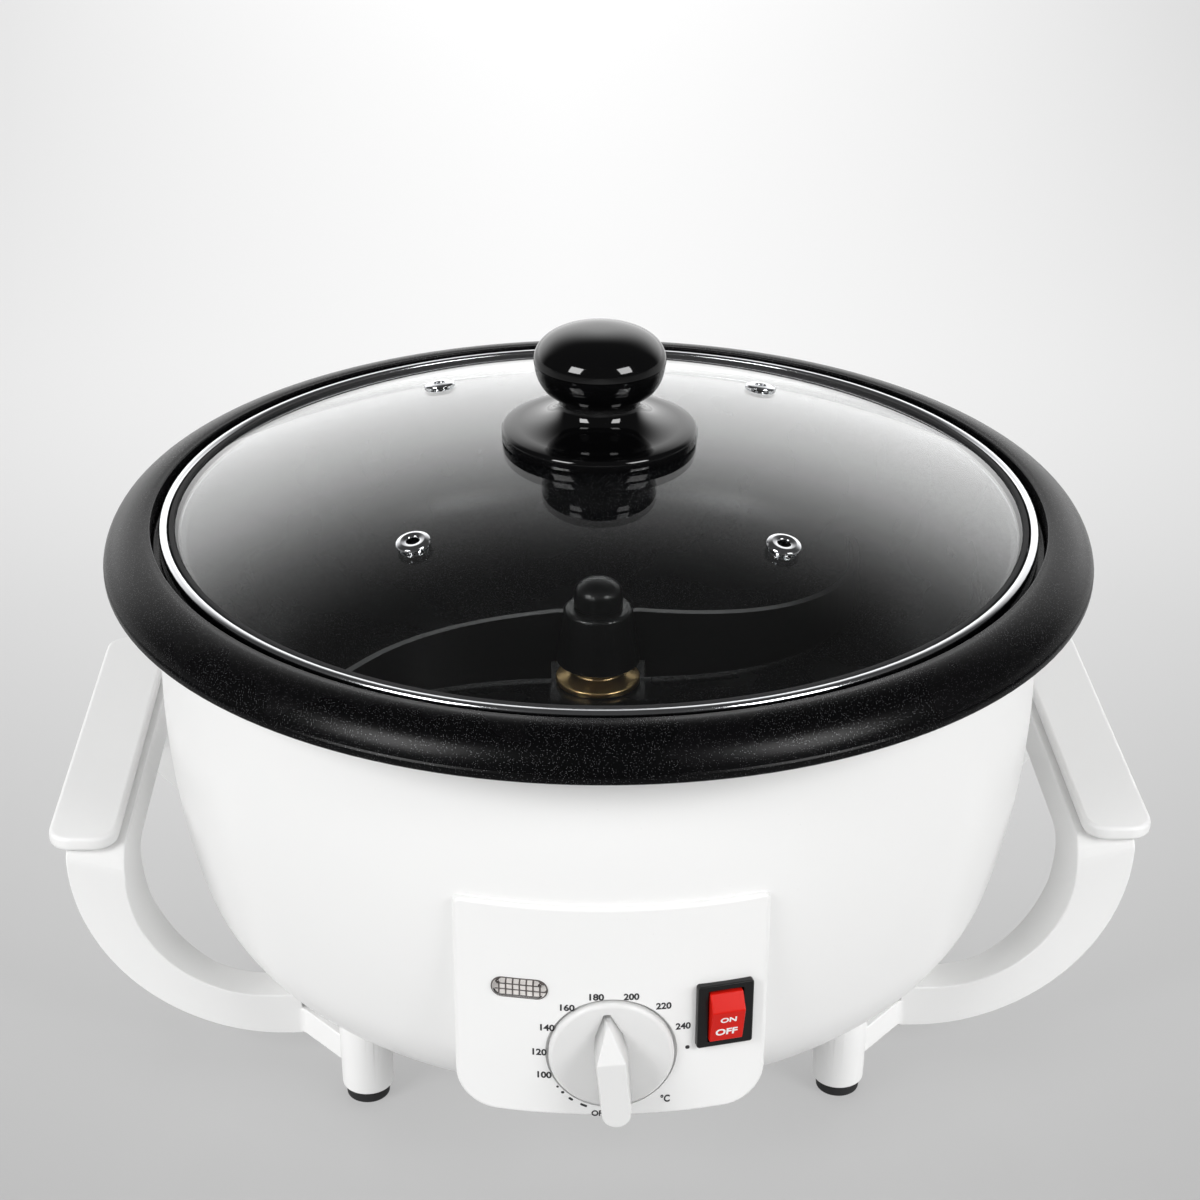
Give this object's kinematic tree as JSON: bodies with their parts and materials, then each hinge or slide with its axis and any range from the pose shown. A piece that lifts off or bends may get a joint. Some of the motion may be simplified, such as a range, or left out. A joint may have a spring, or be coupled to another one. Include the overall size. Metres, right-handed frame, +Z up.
{
  "type": "home coffee bean roaster",
  "caption": "Round countertop coffee bean roaster: white bowl on feet with side handles, stirred black pan, lift-off domed glass lid, and a front panel with dial, lamp and switch.",
  "frame": {"origin": "centre of the bounding box's bottom, on the floor under the bowl's vertical axis", "axes": "+Z up along the bowl's axis, -Y towards the front with the control panel, +X to the object's right seen from the front"},
  "size_m": [0.3218, 0.293, 0.2142],
  "materials": {
    "white_plastic": "satin gloss",
    "pan_coating": "black non-stick with fine sparkle",
    "black_gloss": "high gloss",
    "black_rubber": "matt",
    "steel": "polished stainless steel",
    "galvanised": "zinc plated",
    "brass": "machined",
    "red_plastic": "satin",
    "lamp_plastic": "clear prismatic",
    "element_metal": "heat tinted",
    "clear_glass": "clear tempered"
  },
  "bodies": {
    "base": {"pan": "pan_coating", "control_panel": "white_plastic", "cord_gland": "black_rubber", "bowl_shell": "white_plastic", "base_plate": "white_plastic", "side_frame_right": "white_plastic", "side_frame_left": "white_plastic", "grip_cap_right": "white_plastic", "grip_cap_left": "white_plastic", "foot_front_right": "black_rubber", "foot_front_left": "black_rubber", "foot_rear_right": "black_rubber", "foot_rear_left": "black_rubber", "thermostat": "galvanised", "lamp_lens": "lamp_plastic", "lamp_holder": "black_gloss", "switch_housing": "black_gloss", "pan_stud_1": "galvanised", "pan_stud_2": "galvanised", "pan_stud_3": "galvanised", "motor_bracket": "galvanised", "gear_motor": "galvanised", "heating_element": "element_metal", "heat_shield": "galvanised", "shaft_bush": "brass"},
    "lid": {"lid_glass": "clear_glass", "lid_ring": "steel", "lid_seal": "black_rubber", "lid_eyelet_front_right": "steel", "lid_eyelet_front_left": "steel", "lid_eyelet_rear_left": "steel", "lid_eyelet_rear_right": "steel", "lid_knob": "black_gloss", "knob_gasket": "black_rubber", "knob_washer": "steel", "knob_screw": "steel"},
    "dial": {"temperature_dial": "white_plastic", "dial_spindle": "steel"},
    "rocker": {"switch_rocker": "red_plastic"},
    "stirrer": {"stirrer": "black_gloss", "drive_shaft": "steel", "stirrer_cap_nut": "black_gloss"}
  },
  "joints": [
    {"name": "lid_lift", "type": "slide", "parent": "base", "child": "lid", "axis": [0, 0, 1], "range_m": [0, 0.12]},
    {"name": "dial_turn", "type": "hinge", "parent": "base", "child": "dial", "pos_m": [0, -0.134, 0.0547], "axis": [0, -1, 0], "range_deg": [-90, 180]},
    {"name": "switch_rock", "type": "hinge", "parent": "base", "child": "rocker", "pos_m": [0.03045, -0.13029, 0.0649], "axis": [0.9738, 0.2276, 0], "range_deg": [0, 12]},
    {"name": "stirrer_spin", "type": "hinge", "parent": "base", "child": "stirrer", "pos_m": [0, 0, 0.11], "axis": [0, 0, 1], "continuous": true}
  ]
}
